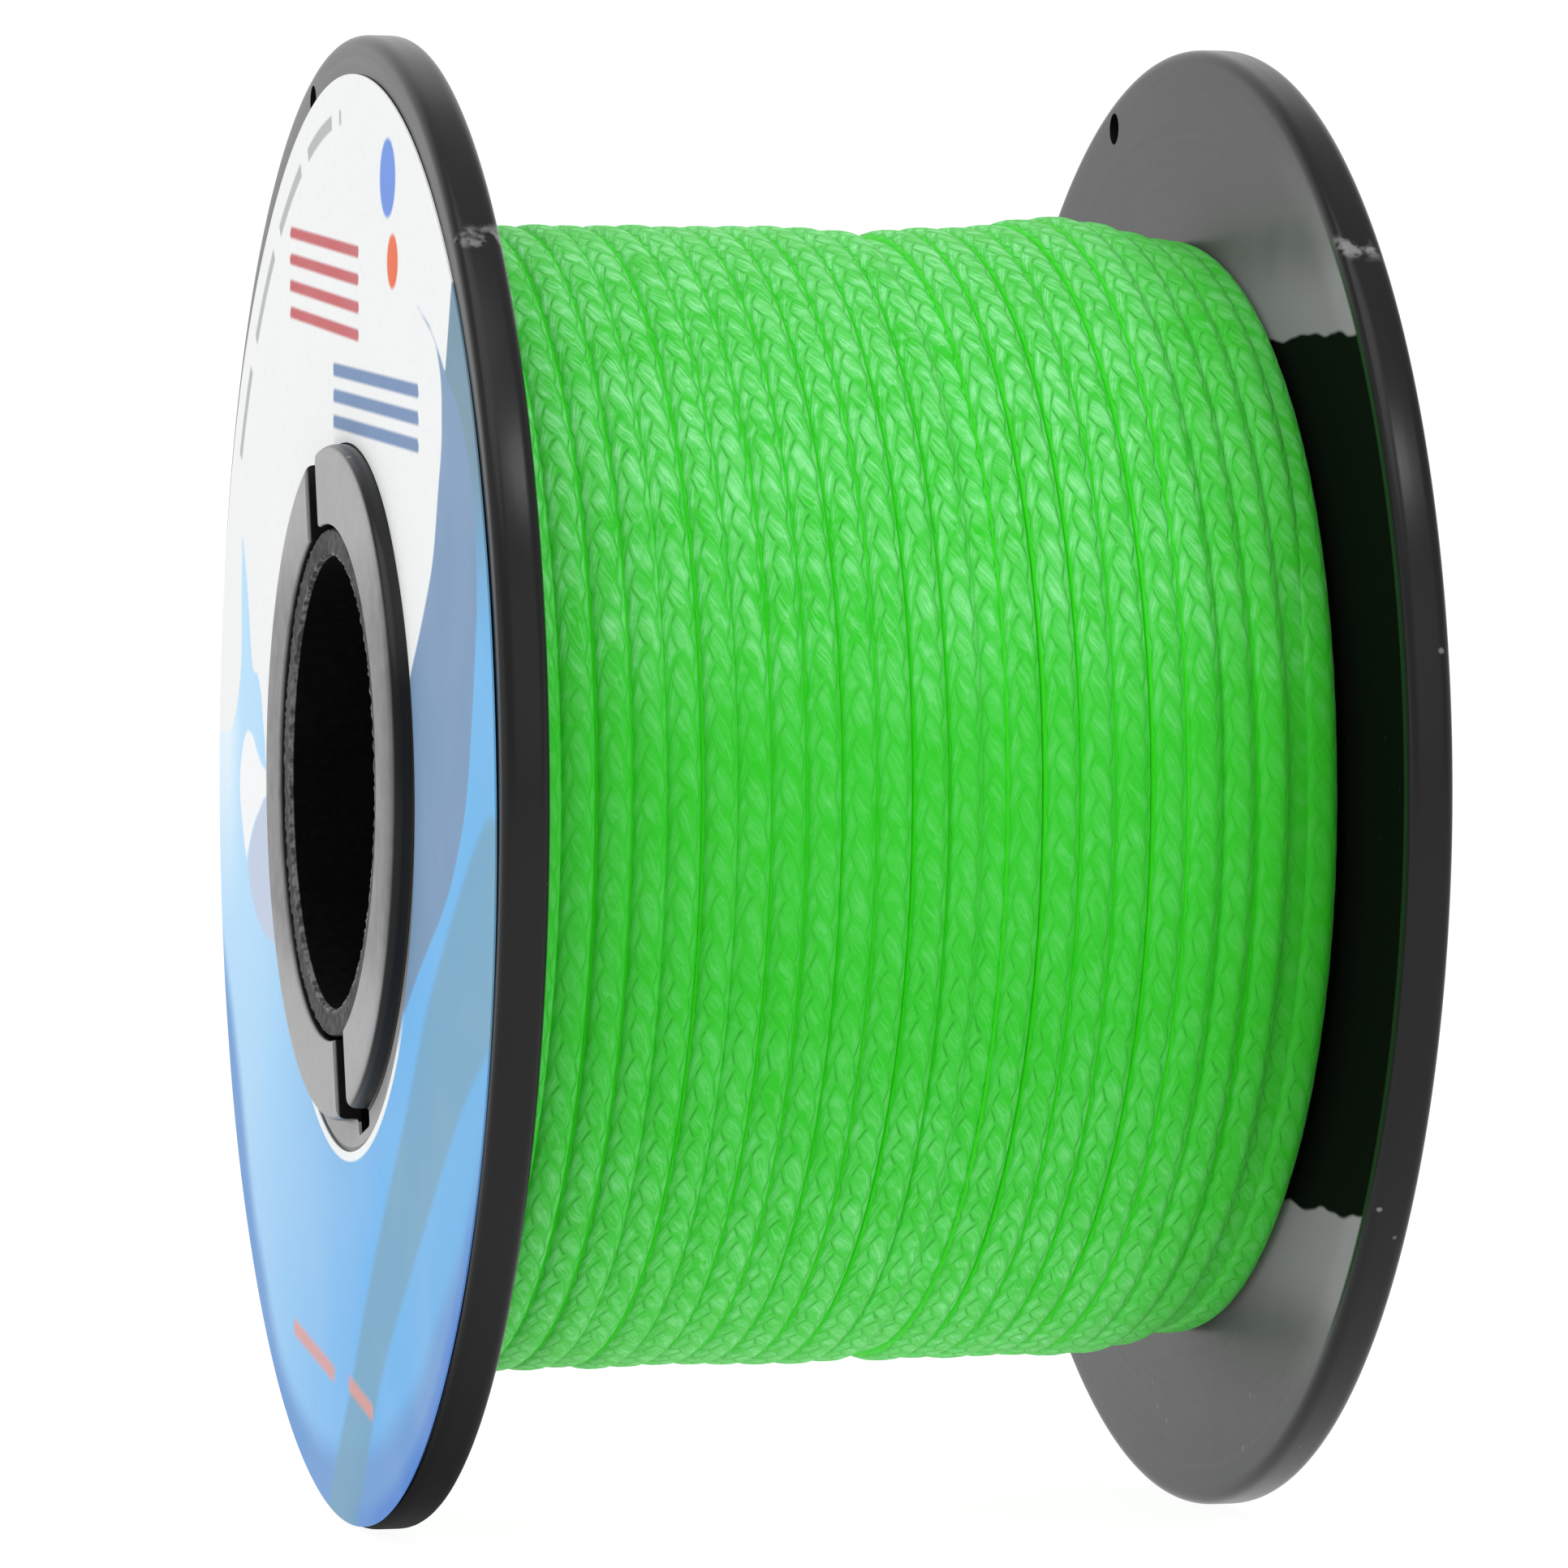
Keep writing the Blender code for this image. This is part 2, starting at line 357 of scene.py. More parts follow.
relief = braid_height(along[:, None] / PICK_LENGTH, round_trip[None, :]) - 0.5
grow = 1 + relief * BRAID_RELIEF / LINE_HALF_WIDTH
fullness = 1 + 0.02 * drift(turn, 9, 0.11)[:, None]
tube = (
    centre[:, None, :]
    + sideways[:, None, :] * (section_wide * grow * fullness)[..., None]
    + upright[:, None, :] * (section_high * grow)[..., None]
)
rings = len(turn)
points = np.concatenate([tube.reshape(-1, 3), centre[:1], centre[-1:]])
i, j = np.meshgrid(np.arange(rings - 1), np.arange(sides), indexing="ij")
next_j = (j + 1) % sides
quads = np.stack([
    i * sides + j, i * sides + next_j, (i + 1) * sides + next_j, (i + 1) * sides + j,
], -1).reshape(-1, 4)
j_next = np.append(round_trip[1:], 1.0)
quad_u = np.stack([along[i], along[i], along[i + 1], along[i + 1]], -1).reshape(-1, 4) / PICK_LENGTH
quad_v = np.stack([round_trip[j], j_next[j], j_next[j], round_trip[j]], -1).reshape(-1, 4)
cap = np.arange(sides)
cap_next = (cap + 1) % sides
first_cap = np.stack([np.full(sides, rings * sides), cap_next, cap], 1)
last = (rings - 1) * sides
last_cap = np.stack([np.full(sides, rings * sides + 1), last + cap, last + cap_next], 1)
corners = np.concatenate([quads.ravel(), first_cap.ravel(), last_cap.ravel()])
sizes = np.concatenate([np.full(len(quads), 4), np.full(2 * sides, 3)])

line_mesh = bpy.data.meshes.new("braided_line")
line_mesh.vertices.add(len(points))
line_mesh.vertices.foreach_set("co", points.astype(np.float32).ravel())
line_mesh.loops.add(len(corners))
line_mesh.loops.foreach_set("vertex_index", corners.astype(np.int32))
line_mesh.polygons.add(len(sizes))
loop_start = np.concatenate([[0], np.cumsum(sizes)[:-1]]).astype(np.int32)
line_mesh.polygons.foreach_set("loop_start", loop_start)
line_mesh.polygons.foreach_set("use_smooth", np.ones(len(sizes), bool))
plait = line_mesh.uv_layers.new(name="plait")
plait_uv = np.zeros((len(corners), 2), np.float32)
plait_uv[:quads.size, 0] = quad_u.ravel()
plait_uv[:quads.size, 1] = quad_v.ravel()
plait.uv.foreach_set("vector", plait_uv.ravel())
line_mesh.update()
line_mesh.validate()
line = bpy.data.objects.new("braided_line", line_mesh)
bpy.context.scene.collection.objects.link(line)

braid, start = new_material("braid")
place = start.node("ShaderNodeUVMap", {"uv_map": "plait"})
picks, girth, _ = place.parts()
spot = start.node("ShaderNodeTexCoord", None, None, 3)
strain = start.node("ShaderNodeTexNoise", None, {"Vector": spot, "Scale": 170.0, "Detail": 2.0})
lean = start.node("ShaderNodeTexNoise", None, {"Vector": spot, "Scale": 210.0, "Detail": 2.0})
a = picks + girth * STRANDS_EACH_WAY + strain * 1.1
b = picks - girth * STRANDS_EACH_WAY + lean * 0.9
whole_a = a.math("FLOOR")
whole_b = b.math("FLOOR")
turn_of = (whole_a - whole_b + 0.5) % 4.0
one_way = turn_of < 2.0
turn_of = turn_of.math("FLOOR")
part_a = a - whole_a
part_b = b - whole_b
over_one = (1.0 - turn_of + part_b) * 0.5
over_other = (turn_of - 2.0 + part_a) * 0.5
over = over_one * one_way + over_other * (1.0 - one_way)
beside = part_a * one_way + part_b * (1.0 - one_way)
cross = abs(beside * 2.0 - 1.0)
end = abs(over * 2.0 - 1.0)
proud = (1.0 - cross * cross) * (1.0 - end ** 4.0)
# Tick and seam darken the crevices at the floats' ends and between strands: painted shade.
tick = end.step(0.80, 0.97) * (1.0 - cross.step(0.45, 1.0))
seam = cross.step(0.82, 1.0)
patchy = start.node("ShaderNodeTexNoise", None, {"Vector": spot, "Scale": 260.0, "Detail": 3.0})
uneven = start.node("ShaderNodeTexNoise", None, {"Vector": spot, "Scale": 900.0, "Detail": 3.0})
fibre_place = start.node("ShaderNodeCombineXYZ", None, {
    0: beside * 9.0 + whole_a * 3.7,
    1: over * 1.1,
    2: whole_b * 2.3,
})
fibres = start.node("ShaderNodeTexNoise", None, {"Vector": fibre_place, "Scale": 1.0, "Detail": 2.0})
to_groove = abs(girth - 0.5)
# The grooves between turns get a lighter, saturated green and a faint emission: painted light in the
# grooves.
painted_groove_glow = to_groove.step(0.135, 0.178)
# Pale fibre streaks, painted lighter on the crowns as painted highlight and at top and bottom as
# painted sheen.
pale = patchy.step(0.3, 0.7) * 0.32 + uneven.step(0.4, 0.65) * 0.25 + fibres.step(0.42, 0.68) * 0.43
across_spool, _, height = spot.parts()
painted_sheen = 0.4 + 0.65 * height.step(0.003, 0.012) + 0.4 * height.step(0.012, 0.024)
painted_sheen = painted_sheen + 0.5 * (height * -1.0).step(0.012, 0.032)
pale = pale * (0.25 + 0.75 * proud) * painted_sheen
green = pale.between(rgb(40, 198, 28), rgb(134, 232, 146))
green = (across_spool.step(0.012, 0.027) * 0.55).between(green, rgb(38, 180, 0))
# The painted crevice shade is weaker towards the winding's middle height.
crevice_shade_by_height = 0.45 + 0.55 * abs(height).step(0.004, 0.018)
green = (tick * crevice_shade_by_height * (uneven.step(0.35, 0.6) * 0.55 + 0.25)).between(green, rgb(34, 152, 32))
green = (seam * crevice_shade_by_height * uneven.step(0.4, 0.7) * 0.2).between(green, rgb(44, 170, 38))
green = (painted_groove_glow * 0.85).between(green, rgb(52, 222, 2))
bumps = start.node("ShaderNodeBump", None, {
    "Strength": 0.3,
    "Distance": 0.00008,
    "Height": proud + fibres * 0.4,
})
finish_material(start, start.node("ShaderNodeBsdfPrincipled", None, {
    "Base Color": green,
    "Roughness": 0.5 + 0.2 * patchy,
    "Specular IOR Level": 0.2,
    "Sheen Weight": 0.08,
    "Sheen Roughness": 0.5,
    # Faint glow in the grooves: painted light.
    "Emission Color": painted_groove_glow.between((0.0, 0.0, 0.0), (0.002, 0.05, 0.0)),
    "Emission Strength": 1.0,
    "Normal": bumps,
}))
line_mesh.materials.append(braid)

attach(line, "root")
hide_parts("wound_line")

# ---- The two flanges ---------------------------------------------------------------------
# Black plastic discs, injection moulded from one tool. Each has a raised hub ring with two
# drive slots, a small hole for the line's end near the rim, and a collar that holds the drum.
FLANGE_RADIUS = 0.050
RIM_ROUND = 0.0009
INNER_FACE = 0.0275
OUTER_FACE = 0.0306
HUB_FACE = 0.0321
HUB_RADIUS = 0.0227
HUB_ROUND = 0.0008
FLANGE_BORE = 0.01735
COLLAR_BORE = 0.0194
COLLAR_RADIUS = 0.0212
COLLAR_END = 0.0215
SLOT_WIDTH = 0.0038
SLOT_REACH = 0.0238
SLOT_FLOOR = 0.0282
HOLE_RADIUS = 0.0011
HOLE_FROM_AXIS = 0.0479
FLANGE_STEPS = 288


def rounded(corner, before, after, size, count=5):
    """Points of a rounded corner in a turned outline."""
    c = np.array(corner)
    p = np.array(before) - c
    q = np.array(after) - c
    p = c + p / np.linalg.norm(p) * size
    q = c + q / np.linalg.norm(q) * size
    return [
        tuple((1 - t) ** 2 * p + 2 * t * (1 - t) * c + t * t * q)
        for t in np.linspace(0, 1, count + 1)
    ]


def turned(name, outline, side, steps):
    """A ring turned about the X axis from a closed outline of (distance out, radius)."""
    made = bmesh.new()
    loops = []
    for k in range(steps):
        swing = 2 * math.pi * k / steps
        loops.append([
            made.verts.new((side * x, -r * math.cos(swing), r * math.sin(swing)))
            for x, r in outline
        ])
    for k in range(steps):
        one, two = loops[k], loops[(k + 1) % steps]
        for m in range(len(outline)):
            n = (m + 1) % len(outline)
            made.faces.new((one[m], one[n], two[n], two[m]))
    bmesh.ops.recalc_face_normals(made, faces=made.faces)
    mesh = bpy.data.meshes.new(name)
    made.to_mesh(mesh)
    made.free()
    return mesh


def smooth_by_angle(mesh, degrees):
    """Smooth shading, with edges sharper than the angle left crisp."""
    made = bmesh.new()
    made.from_mesh(mesh)
    for edge in made.edges:
        flat = len(edge.link_faces) == 2 and edge.calc_face_angle() < math.radians(degrees)
        edge.smooth = flat
    for face in made.faces:
        face.smooth = True
    made.to_mesh(mesh)
    made.free()


def cutter(name, size, place, tilt):
    """A rounded block or pin, in line with a radius at that tilt from upright."""
    made = bmesh.new()
    if len(size) == 3:
        bmesh.ops.create_cube(made, size=1.0)
        bmesh.ops.scale(made, vec=size, verts=made.verts)
        tall = [e for e in made.edges if abs(e.verts[0].co.z - e.verts[1].co.z) < 1e-6]
        bmesh.ops.bevel(made, geom=tall, offset=0.00035, segments=3, profile=0.5, affect="EDGES")
    else:
        bmesh.ops.create_cone(
            made, segments=48, radius1=size[0], radius2=size[0], depth=size[1], cap_ends=True,
        )
        lie_down = Vector((1, 0, 0)).rotation_difference(Vector((0, 0, 1))).to_matrix()
        bmesh.ops.rotate(made, matrix=lie_down, verts=made.verts)
    bmesh.ops.translate(made, vec=place, verts=made.verts)
    turn_by = Vector((0, math.sin(tilt), math.cos(tilt)))
    matrix = Vector((0, 0, 1)).rotation_difference(turn_by).to_matrix()
    bmesh.ops.rotate(made, matrix=matrix, verts=made.verts)
    mesh = bpy.data.meshes.new(name)
    made.to_mesh(mesh)
    made.free()
    thing = bpy.data.objects.new(name, mesh)
    bpy.context.scene.collection.objects.link(thing)
    return thing


def cut(thing, tools):
    """Cuts the tools out of a piece and throws them away."""
    for tool in tools:
        change = thing.modifiers.new(tool.name, "BOOLEAN")
        change.object = tool
        change.operation = "DIFFERENCE"
        change.solver = "EXACT"
    bpy.context.view_layer.update()
    seen = thing.evaluated_get(bpy.context.evaluated_depsgraph_get())
    done = bpy.data.meshes.new_from_object(seen)
    thing.modifiers.clear()
    thing.data = done
    for tool in tools:
        bpy.data.objects.remove(tool)


def flange_outline():
    inner, outer, hub = INNER_FACE, OUTER_FACE, HUB_FACE
    points = [(inner, FLANGE_BORE), (inner, COLLAR_BORE), (COLLAR_END, COLLAR_BORE)]
    points += [(COLLAR_END, COLLAR_RADIUS), (inner, COLLAR_RADIUS)]
    points += [(inner, r) for r in np.linspace(0.024, 0.048, 7)]
    points += rounded((inner, FLANGE_RADIUS), (inner, 0.04), (outer, FLANGE_RADIUS), RIM_ROUND, 7)
    points += rounded((outer, FLANGE_RADIUS), (inner, FLANGE_RADIUS), (outer, 0.04), RIM_ROUND, 7)
    points += [(outer, r) for r in np.linspace(0.048, 0.024, 7)]
    points += rounded((outer, HUB_RADIUS), (outer, 0.03), (hub, HUB_RADIUS), 0.0002, 3)
    points += rounded((hub, HUB_RADIUS), (outer, HUB_RADIUS), (hub, 0.02), HUB_ROUND, 6)
    points += rounded((hub, FLANGE_BORE), (hub, 0.02), (inner, FLANGE_BORE), 0.0002, 3)
    return points


black, start = new_material("black_moulding")
spot = start.node("ShaderNodeTexCoord", None, None, 3)
x, y, z = spot.parts()
from_axis = (y * y + z * z).math("SQRT")
round_axis = y.math("ARCTAN2", z)
cloud = start.node("ShaderNodeTexNoise", None, {"Vector": spot, "Scale": 45.0, "Detail": 4.0})
fine = start.node("ShaderNodeTexNoise", None, {"Vector": spot, "Scale": 700.0, "Detail": 3.0})
turned_marks = start.node("ShaderNodeCombineXYZ", None, {
    0: x * 2500.0,
    1: from_axis * 2500.0,
    2: round_axis * 2.0,
})
marks = start.node("ShaderNodeTexNoise", None, {"Vector": turned_marks, "Scale": 1.0, "Detail": 2.0})
specks = start.node("ShaderNodeTexVoronoi", None, {"Vector": spot, "Scale": 330.0, "Randomness": 1.0})
speck = (1.0 - specks.step(0.03, 0.09)) * cloud.step(0.5, 0.62)
on_rim = from_axis.step(0.0493, 0.0497)
# Light grey streaks on the front rim: a painted glint.
painted_rim_glare = (1.0 - abs(z - 0.0350).step(0.0002, 0.0011)) * (1.0 - (y + 0.0300).step(0.0, 0.003))
painted_rim_glare = painted_rim_glare * on_rim * fine.step(0.5, 0.66)
# The hub ring's face and the ledge round it are painted grey for the light they catch.
hub_face = (abs(x) - OUTER_FACE).step(0.0012, 0.0014)
ledge = (from_axis < 0.0245) * (from_axis > 0.0229) * (abs(x) > 0.0300)
hub_and_ledge = hub_face + ledge
dark = cloud.between((0.007, 0.007, 0.0075), (0.013, 0.013, 0.0135))
grey = (cloud * 0.5 + fine * 0.5).step(0.3, 0.7).between((0.15, 0.15, 0.15), (0.24, 0.24, 0.24))
hub_highlight = (fine * 0.5 + cloud * 0.5).between((0.26, 0.26, 0.26), (0.42, 0.42, 0.42))
# Lighter at top and bottom: painted highlight.
grey = abs(z - 0.001).step(0.009, 0.017).between(grey, hub_highlight)
# Darker on the near side: painted shade.
grey = ((1.0 - y.step(-0.0225, -0.018)) * 0.5).between(grey, (0.08, 0.08, 0.08))
shade = hub_and_ledge.between(dark, grey)
# Inside the drive slots the black is painted darker: painted shade in the slots.
in_slot = (abs(x) > 0.0281) * (abs(x) < 0.0304) * (from_axis > 0.01745) * (from_axis < 0.0239)
shade = in_slot.between(shade, (0.002, 0.002, 0.002))
shade = (speck * 0.5).between(shade, (0.5, 0.5, 0.5))
shade = (painted_rim_glare * 0.5).between(shade, (0.4, 0.4, 0.4))
bumps = start.node("ShaderNodeBump", None, {
    "Strength": 0.25,
    "Distance": 0.00005,
    "Height": marks * 0.2 + fine * 0.4,
})
glossy = start.node("ShaderNodeBsdfPrincipled", None, {
    "Base Color": shade,
    "Roughness": 0.16 + cloud * 0.12 + marks * 0.08 + hub_and_ledge * 0.2,
    "Specular IOR Level": 0.19,
    "Normal": bumps,
})

# The plain flange's inner face is dull beside the line, with a painted reflection: black at the
# line's own height, and grey above and below it. The labelled flange's rim is dull where it meets
# the floor, and painted black there as painted shade.
sway = start.node("ShaderNodeTexNoise", None, {"Vector": spot, "Scale": 260.0, "Detail": 1.0})
by_line = (1.0 - (abs(z) + sway * 0.003).step(0.034, 0.046)) * (1.0 - y.step(-0.016, 0.004))
by_line = by_line * (x > INNER_FACE - 0.001) * (x < INNER_FACE + 0.0001)
by_line = by_line * (1.0 - from_axis.step(0.0488, 0.0492))
# The labelled flange's lower rim: painted shade in place of the floor's reflection.
under = on_rim * (1.0 - z.step(-0.047, -0.024)) * (1.0 - x.step(-0.001, 0.001)) * 0.92
# Black band at the line's height: a painted reflection of the shaded winding.
painted_dark_reflection = 1.0 - (abs(z - 0.00105) + sway * 0.0012).step(0.0285, 0.0296)
# Grey above and below it: a painted reflection, lighter beside the band and near the rim, darker
# towards the bottom.
beside_line = (1.0 - abs(z).step(0.031, 0.036)) + from_axis.step(0.0455, 0.0485) * 0.8
painted_reflection_grey = cloud.between((0.19, 0.165, 0.19), (0.25, 0.215, 0.25))
painted_reflection_grey = (beside_line * 0.7).between(painted_reflection_grey, (0.34, 0.30, 0.34))
painted_reflection_grey = ((1.0 - z.step(-0.042, -0.032)) * 0.25).between(painted_reflection_grey, (0.0, 0.0, 0.0))
dull_shade = (painted_dark_reflection + on_rim).step(0.3, 0.7).between(painted_reflection_grey, (0.002, 0.002, 0.002))
dull = start.node("ShaderNodeBsdfPrincipled", None, {
    "Base Color": dull_shade,
    "Roughness": 0.9,
    "Specular IOR Level": 0.02,
    "Normal": bumps,
})
dullness = by_line * 0.94 + under
finish_material(start, start.node("ShaderNodeMixShader", None, {0: dullness, 1: glossy, 2: dull}))

for name, node, side, tilt in [
    ("labelled_flange", "front_flange", -1, math.radians(14.4)),
    ("plain_flange", "rear_flange", 1, math.radians(18.0)),
]:
    disc = bpy.data.objects.new(name, turned(name, flange_outline(), side, FLANGE_STEPS))
    bpy.context.scene.collection.objects.link(disc)
    reach = SLOT_REACH - 0.015
    middle = 0.015 + reach / 2
    block = (0.008, SLOT_WIDTH, reach)
    slot_x = side * (SLOT_FLOOR + 0.004)
    tools = [
        cutter("slot_up", block, (slot_x, 0, middle), tilt),
        cutter("slot_down", block, (slot_x, 0, middle), tilt + math.pi - 1e-4),
        cutter("line_hole", (HOLE_RADIUS, 0.008), (side * 0.029, 0, HOLE_FROM_AXIS), tilt),
    ]
    cut(disc, tools)
    smooth_by_angle(disc.data, 32)
    disc.data.materials.clear()
    disc.data.materials.append(black)
    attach(disc, "root")
    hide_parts(node)

# ---- The core tube -----------------------------------------------------------------------
# A dark grey extruded tube that lines the bore, cut to length with a saw. The cut ends are
# rough, with a frayed inner edge, and stop just short of the hub rings.
TUBE_RADIUS = 0.01705
TUBE_BORE = 0.0152
tube_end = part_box("core_tube")[1].x

outline = [(-tube_end, TUBE_BORE + 0.0001), (-tube_end, 0.01615), (-tube_end, TUBE_RADIUS - 0.0001)]
outline += [(-tube_end + 0.0002, TUBE_RADIUS), (0.0, TUBE_RADIUS), (tube_end - 0.0002, TUBE_RADIUS)]
outline += [(tube_end, TUBE_RADIUS - 0.0001), (tube_end, 0.01615), (tube_end, TUBE_BORE + 0.0001)]
outline += [(tube_end - 0.0003, TUBE_BORE), (0.0, TUBE_BORE), (-tube_end + 0.0003, TUBE_BORE)]
liner = bpy.data.objects.new("core_liner", turned("core_liner", outline, 1, 360))
bpy.context.scene.collection.objects.link(liner)
rng = np.random.default_rng(11)
for v in liner.data.vertices:
    if abs(v.co.x) > tube_end - 0.0001:
        v.co.x += math.copysign(rng.uniform(-0.00012, 0.00004), v.co.x)
        push = 1 + rng.uniform(-0.0025, 0.0025)
        v.co.y *= push
        v.co.z *= push
smooth_by_angle(liner.data, 40)
sawn, start = new_material("sawn_tube")
spot = start.node("ShaderNodeTexCoord", None, None, 3)
x, y, z = spot.parts()
from_axis = (y * y + z * z).math("SQRT")
grain = start.node("ShaderNodeTexNoise", None, {"Vector": spot, "Scale": 1600.0, "Detail": 4.0})
cloud = start.node("ShaderNodeTexNoise", None, {"Vector": spot, "Scale": 120.0, "Detail": 3.0})
end_cut = abs(x).step(tube_end - 0.0003, tube_end - 0.0002)
frayed = 1.0 - from_axis.step(0.0153, 0.0156)
tone = (grain * 0.6 + cloud * 0.4).step(0.3, 0.7)
cut_grey = tone.between((0.055, 0.055, 0.057), (0.13, 0.13, 0.13))
cut_grey = (frayed * grain.step(0.4, 0.6) * 0.6).between(cut_grey, (0.3, 0.3, 0.3))
# The tube's walls and bore are painted near black: painted shade inside the tube.
inside = tone.between((0.002, 0.002, 0.002), (0.005, 0.005, 0.005))
bumps = start.node("ShaderNodeBump", None, {"Strength": 0.6, "Distance": 0.0001, "Height": grain})
finish_material(start, start.node("ShaderNodeBsdfPrincipled", None, {
    "Base Color": end_cut.between(inside, cut_grey),
    "Roughness": 0.75 + 0.2 * grain,
    "Specular IOR Level": 0.03,
    "Normal": bumps,
}))
liner.data.materials.append(sawn)
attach(liner, "root")
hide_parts("core_tube")

# ---- The label ---------------------------------------------------------------------------
# Thin printed film stuck on the front flange by hand, a little low, so that its hole meets
# the hub ring at the top. The print is plain fields of blue on white.
LABEL_RADIUS = 0.0486
LABEL_HOLE = 0.0236
LABEL_DROP = 0.0012
GAP_TO_HUB = 0.00012
LABEL_BACK = 0.03062
LABEL_FRONT = 0.03074
label_rings = 84
label_steps = 384


def through(points, steps=8):
    """A closed smooth curve, with a corner at each point that has a third value."""
    p = np.array([q[:2] for q in points], float)
    out = []
    for k in range(len(p)):
        n = (k + 1) % len(p)
        p0, p1, p2, p3 = p[k - 1], p[k], p[n], p[(k + 2) % len(p)]
        if len(points[k]) > 2:
            p0 = 2 * p1 - p2
        if len(points[n]) > 2:
            p3 = 2 * p2 - p1
        for t in np.arange(steps) / steps:
            out.append(0.5 * (
                2 * p1 + (p2 - p0) * t + (2 * p0 - 5 * p1 + 4 * p2 - p3) * t ** 2
                + (3 * p1 - p0 - 3 * p2 + p3) * t ** 3
            ))
    return np.array(out)


def depth_in(shape, place):
    """How far inside a closed outline each place is, negative outside it."""
    a = shape
    b = np.roll(shape, -1, axis=0)
    nearest = np.full(len(place), 1e9)
    inside = np.zeros(len(place), bool)
    for (ax, ay), (bx, by) in zip(a, b):
        d = np.array([bx - ax, by - ay])
        t = np.clip(((place - [ax, ay]) @ d) / max(d @ d, 1e-12), 0, 1)
        gap = np.linalg.norm(place - ([ax, ay] + t[:, None] * d), axis=1)
        nearest = np.minimum(nearest, gap)
        crosses = (ay > place[:, 1]) != (by > place[:, 1])
        at = ax + (place[:, 1] - ay) / (by - ay if by != ay else 1e-12) * (bx - ax)
        inside ^= crosses & (place[:, 0] < at)
    return np.where(inside, nearest, -nearest)


# Outlines of the printed fields. Across is to the right as the label is read, and both ways
# are in shares of the flange's radius from the axis.
WHITE = [
    (-1.2, 0.5), (-0.9, 1.1), (0.3, 1.3), (0.72, 0.9), (0.735, 0.72, 1), (0.667, 0.531, 1),
    (0.60, 0.575), (0.49, 0.622, 1), (0.585, 0.585), (0.637, 0.53), (0.646, 0.47), (0.641, 0.429),
    (0.625, 0.388), (0.589, 0.296), (0.526, 0.224), (0.458, 0.161), (0.38, 0.09), (0.2, 0.0),
    (-0.3, -0.03), (-0.50, -0.03), (-0.585, 0.005), (-0.600, 0.045), (-0.613, 0.068),
    (-0.628, 0.107), (-0.655, 0.137), (-0.695, 0.147), (-0.713, 0.186), (-0.739, 0.266),
    (-0.776, 0.345, 1), (-0.784, 0.253), (-0.785, 0.186), (-0.792, 0.146), (-0.815, 0.105),
    (-0.85, 0.071), (-0.90, 0.055), (-1.1, 0.05, 1),
]
DUSK = [
    (0.49, 0.622, 1), (0.60, 0.575), (0.667, 0.531), (0.742, 0.488), (0.806, 0.426), (0.854, 0.335),
    (0.864, 0.245), (0.854, 0.185), (0.829, 0.084), (0.789, -0.018), (0.714, -0.101),
    (0.638, -0.155), (0.534, -0.211), (0.455, -0.257), (0.40, -0.291, 1), (0.2, -0.2, 1),
    (0.2, 0.2, 1),
]
TEAR = [
    (-0.752, 0.054), (-0.703, 0.053), (-0.658, 0.027), (-0.60, 0.005), (-0.45, 0.0, 1),
    (-0.45, -0.05, 1), (-0.585, -0.034), (-0.64, -0.052), (-0.697, -0.08), (-0.75, -0.128, 1),
    (-0.78, -0.082), (-0.802, -0.029), (-0.79, 0.018),
]
PATCH = [
    (-0.4, -0.03, 1), (-0.585, -0.034), (-0.659, -0.062), (-0.716, -0.101), (-0.735, -0.141),
    (-0.698, -0.187), (-0.624, -0.224), (-0.55, -0.237), (-0.4, -0.25, 1),
]
BAND = [
    (0.95, -0.02), (0.60, -0.235), (0.406, -0.427), (0.187, -0.638), (0.045, -0.8), (-0.14, -1.02),
    (0.04, -1.02), (0.247, -0.779), (0.458, -0.615), (0.747, -0.404), (1.05, -0.22),
]
LOWER_FIELD = [
    (-1.3, 0.6), (-0.80, -0.45), (-0.60, -0.72), (-0.422, -0.851), (-0.143, -0.91), (0.202, -0.875),
    (0.489, -0.768), (0.594, -0.688), (0.761, -0.572), (0.885, -0.435), (0.98, -0.2), (1.3, 0.6),
]
STEPS = [2 * math.pi * k / 12 for k in range(12)]
BLUE_SPOT = [(0.30 + 0.052 * math.cos(t), 0.795 + 0.052 * math.sin(t)) for t in STEPS]
ORANGE_SPOT = [(0.33 + 0.036 * math.cos(t), 0.685 + 0.036 * math.sin(t)) for t in STEPS]
RED_RULES = [(-0.40, 0.10, v, v - 0.05, 0.016) for v in (0.765, 0.728, 0.691, 0.654)]
BLUE_RULES = [(-0.08, 0.50, v, v - 0.045, 0.018) for v in (0.566, 0.531, 0.496)]
ORANGE_RULES = [(-0.38, -0.08, -0.755, -0.795, 0.022), (0.02, 0.19, -0.795, -0.82, 0.022)]
swing = np.arange(label_steps) * 2 * math.pi / label_steps
swing, reach = np.meshgrid(swing, np.linspace(0, 1, label_rings + 1), indexing="ij")
clear_of_hub = np.sqrt((HUB_RADIUS + GAP_TO_HUB) ** 2 - (LABEL_DROP * np.sin(swing)) ** 2)
hole_edge = np.maximum(LABEL_HOLE, clear_of_hub + LABEL_DROP * np.cos(swing))
film_radius = hole_edge + (LABEL_RADIUS - hole_edge) * reach
film_right = film_radius * np.sin(swing)
film_up = film_radius * np.cos(swing) - LABEL_DROP
lift = 0.00003 * (1 + np.sin(swing * 5 + 1.0)) * reach ** 4
lift += 0.00002 * drift(swing.ravel() * 10, 21, 3.0).reshape(swing.shape) * reach ** 2
front = np.stack([-(LABEL_FRONT + lift), -film_right, film_up], -1)
back = np.stack([-(LABEL_BACK + lift), -film_right, film_up], -1)
across_count = label_rings + 1
count = label_steps * across_count
